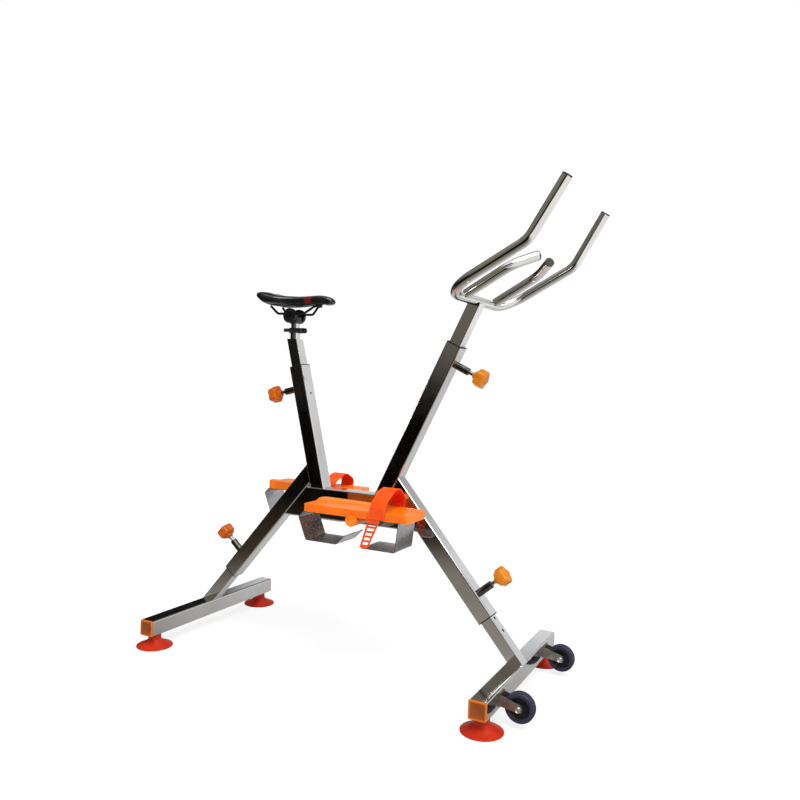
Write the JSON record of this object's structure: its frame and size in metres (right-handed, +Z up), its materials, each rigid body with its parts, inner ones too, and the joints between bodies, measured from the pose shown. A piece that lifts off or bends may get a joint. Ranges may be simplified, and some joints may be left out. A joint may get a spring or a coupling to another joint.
{
  "type": "aquatic exercise bike",
  "caption": "Water exercise bike: polished steel frame on suction cups, telescoping legs, saddle and handlebar, cranks with strapped foot platforms and paddles.",
  "frame": {"origin": "on the floor, at the centre of the object's outer box seen from above", "axes": "+Z up, +X forward from saddle to handlebar, +Y to the rider's left"},
  "size_m": [1.2147, 0.588, 1.2698],
  "materials": {
    "polished_stainless": "polished stainless steel",
    "dark_steel": "plain steel, darker",
    "black_plastic": "black moulded plastic",
    "orange_plastic": "orange moulded plastic",
    "amber_plastic": "yellow-orange moulded plastic",
    "red_rubber": "red-orange rubber",
    "strap_rubber": "red-orange soft strap",
    "wheel_tyre": "dark blue-grey wheel",
    "saddle_cover": "glossy black vinyl over foam",
    "black_steel": "black coated steel"
  },
  "bodies": {
    "frame": {"main_beam": "polished_stainless", "rear_leg_sleeve": "polished_stainless", "front_leg_sleeve": "polished_stainless", "seat_sleeve": "polished_stainless", "handlebar_sleeve": "polished_stainless", "rear_leg_bush": "black_plastic", "front_leg_bush": "black_plastic", "seat_bush": "black_plastic", "handlebar_bush": "black_plastic", "right_crank_bearing": "black_plastic", "left_crank_bearing": "black_plastic"},
    "rear_base": {"rear_foot": "polished_stainless", "rear_right_cap": "orange_plastic", "rear_left_cap": "orange_plastic", "rear_right_cup": "red_rubber", "rear_left_cup": "red_rubber"},
    "front_base": {"front_foot": "polished_stainless", "front_right_cap": "orange_plastic", "front_left_cap": "orange_plastic", "front_right_cup": "red_rubber", "front_left_cup": "red_rubber", "right_caster_fork": "dark_steel", "left_caster_fork": "dark_steel"},
    "right_wheel": {"right_caster_wheel": "wheel_tyre"},
    "left_wheel": {"left_caster_wheel": "wheel_tyre"},
    "seat_mast": {"seat_tube": "polished_stainless", "quick_clamp_collar": "black_steel"},
    "clamp_lever": {"quick_clamp_lever": "black_steel"},
    "post": {"seat_post": "polished_stainless"},
    "clamp_core": {"saddle_clamp": "black_steel"},
    "cradle": {"saddle_cradle": "black_steel"},
    "saddle": {"saddle_rails": "black_steel", "saddle_base": "black_plastic", "saddle_cover": "saddle_cover"},
    "steering_mast": {"handlebar_tube": "polished_stainless", "handlebar": "polished_stainless", "left_grip_bar": "polished_stainless", "right_grip_bar": "polished_stainless", "left_grip_plug": "black_plastic", "right_grip_plug": "black_plastic", "left_bar_plug": "black_plastic", "right_bar_plug": "black_plastic"},
    "cranks": {"right_crank": "polished_stainless", "left_crank": "polished_stainless"},
    "right_platform": {"right_pedal": "orange_plastic", "right_foot_strap": "strap_rubber", "right_rear_paddle": "polished_stainless", "right_front_paddle": "polished_stainless"},
    "left_platform": {"left_pedal": "orange_plastic", "left_foot_strap": "strap_rubber", "left_rear_paddle": "polished_stainless", "left_front_paddle": "polished_stainless"},
    "rear_leg_pin": {"rear_leg_lock_pin": "dark_steel"},
    "rear_leg_knob": {"rear_leg_lock_knob": "amber_plastic"},
    "front_leg_pin": {"front_leg_lock_pin": "dark_steel"},
    "front_leg_knob": {"front_leg_lock_knob": "amber_plastic"},
    "seat_pin": {"seat_lock_pin": "dark_steel"},
    "seat_knob": {"seat_lock_knob": "amber_plastic"},
    "handlebar_pin": {"handlebar_lock_pin": "dark_steel"},
    "handlebar_knob": {"handlebar_lock_knob": "amber_plastic"}
  },
  "joints": [
    {"name": "rear_leg_slide", "type": "slide", "parent": "frame", "child": "rear_base", "axis": [-0.6494, 0, -0.7604], "range_m": [-0.074, 0.111]},
    {"name": "front_leg_slide", "type": "slide", "parent": "frame", "child": "front_base", "axis": [0.6494, 0, -0.7604], "range_m": [-0.074, 0.111]},
    {"name": "right_wheel_spin", "type": "hinge", "parent": "front_base", "child": "right_wheel", "pos_m": [0.52892, -0.18, 0.048], "axis": [0, 1, 0], "continuous": true},
    {"name": "left_wheel_spin", "type": "hinge", "parent": "front_base", "child": "left_wheel", "pos_m": [0.52892, 0.18, 0.048], "axis": [0, 1, 0], "continuous": true},
    {"name": "seat_height_slide", "type": "slide", "parent": "frame", "child": "seat_mast", "axis": [-0.2419, 0, 0.9703], "range_m": [-0.074, 0.148]},
    {"name": "quick_lever_swing", "type": "hinge", "parent": "seat_mast", "child": "clamp_lever", "pos_m": [-0.23542, -0.0143, 0.93387], "axis": [0, 0, 1], "range_deg": [0, 115]},
    {"name": "post_slide", "type": "slide", "parent": "seat_mast", "child": "post", "axis": [0, 0, 1], "range_m": [-0.004, 0.028]},
    {"name": "saddle_turn", "type": "hinge", "parent": "post", "child": "clamp_core", "pos_m": [-0.26402, 0, 0.96], "axis": [0, 0, 1], "range_deg": [-20, 20]},
    {"name": "saddle_tilt", "type": "hinge", "parent": "clamp_core", "child": "cradle", "pos_m": [-0.26802, 0, 0.977], "axis": [0, 1, 0], "range_deg": [-12, 12]},
    {"name": "saddle_fore_aft", "type": "slide", "parent": "cradle", "child": "saddle", "axis": [1, 0, 0], "range_m": [-0.02, 0.011]},
    {"name": "handlebar_height_slide", "type": "slide", "parent": "frame", "child": "steering_mast", "axis": [0.4305, 0, 0.9026], "range_m": [-0.074, 0.148]},
    {"name": "crank_spin", "type": "hinge", "parent": "frame", "child": "cranks", "pos_m": [-0.09638, 0, 0.43], "axis": [0, 1, 0], "continuous": true},
    {"name": "right_pedal_spin", "type": "hinge", "parent": "cranks", "child": "right_platform", "pos_m": [0.06362, -0.1345, 0.43], "axis": [0, 1, 0], "continuous": true},
    {"name": "left_pedal_spin", "type": "hinge", "parent": "cranks", "child": "left_platform", "pos_m": [-0.25638, 0.1345, 0.43], "axis": [0, 1, 0], "continuous": true},
    {"name": "rear_leg_pin_pull", "type": "slide", "parent": "frame", "child": "rear_leg_pin", "axis": [-0.7604, 0, 0.6494], "range_m": [0, 0.012], "stiffness_N_per_m": 1500, "springref_m": -0.012},
    {"name": "rear_leg_knob_turn", "type": "hinge", "parent": "rear_leg_pin", "child": "rear_leg_knob", "pos_m": [-0.47341, 0, 0.27153], "axis": [-0.7604, 0, 0.6494], "continuous": true},
    {"name": "front_leg_pin_pull", "type": "slide", "parent": "frame", "child": "front_leg_pin", "axis": [0.7604, 0, 0.6494], "range_m": [0, 0.012], "stiffness_N_per_m": 1500, "springref_m": -0.012},
    {"name": "front_leg_knob_turn", "type": "hinge", "parent": "front_leg_pin", "child": "front_leg_knob", "pos_m": [0.3799, 0, 0.26772], "axis": [0.7604, 0, 0.6494], "continuous": true},
    {"name": "seat_pin_pull", "type": "slide", "parent": "frame", "child": "seat_pin", "axis": [-0.9703, 0, -0.2419], "range_m": [0, 0.012], "stiffness_N_per_m": 1500, "springref_m": -0.012},
    {"name": "seat_knob_turn", "type": "hinge", "parent": "seat_pin", "child": "seat_knob", "pos_m": [-0.28655, 0, 0.75109], "axis": [-0.9703, 0, -0.2419], "continuous": true},
    {"name": "handlebar_pin_pull", "type": "slide", "parent": "frame", "child": "handlebar_pin", "axis": [0.9026, 0, -0.4305], "range_m": [0, 0.012], "stiffness_N_per_m": 1500, "springref_m": -0.012},
    {"name": "handlebar_knob_turn", "type": "hinge", "parent": "handlebar_pin", "child": "handlebar_knob", "pos_m": [0.2943, 0, 0.82555], "axis": [0.9026, 0, -0.4305], "continuous": true}
  ]
}
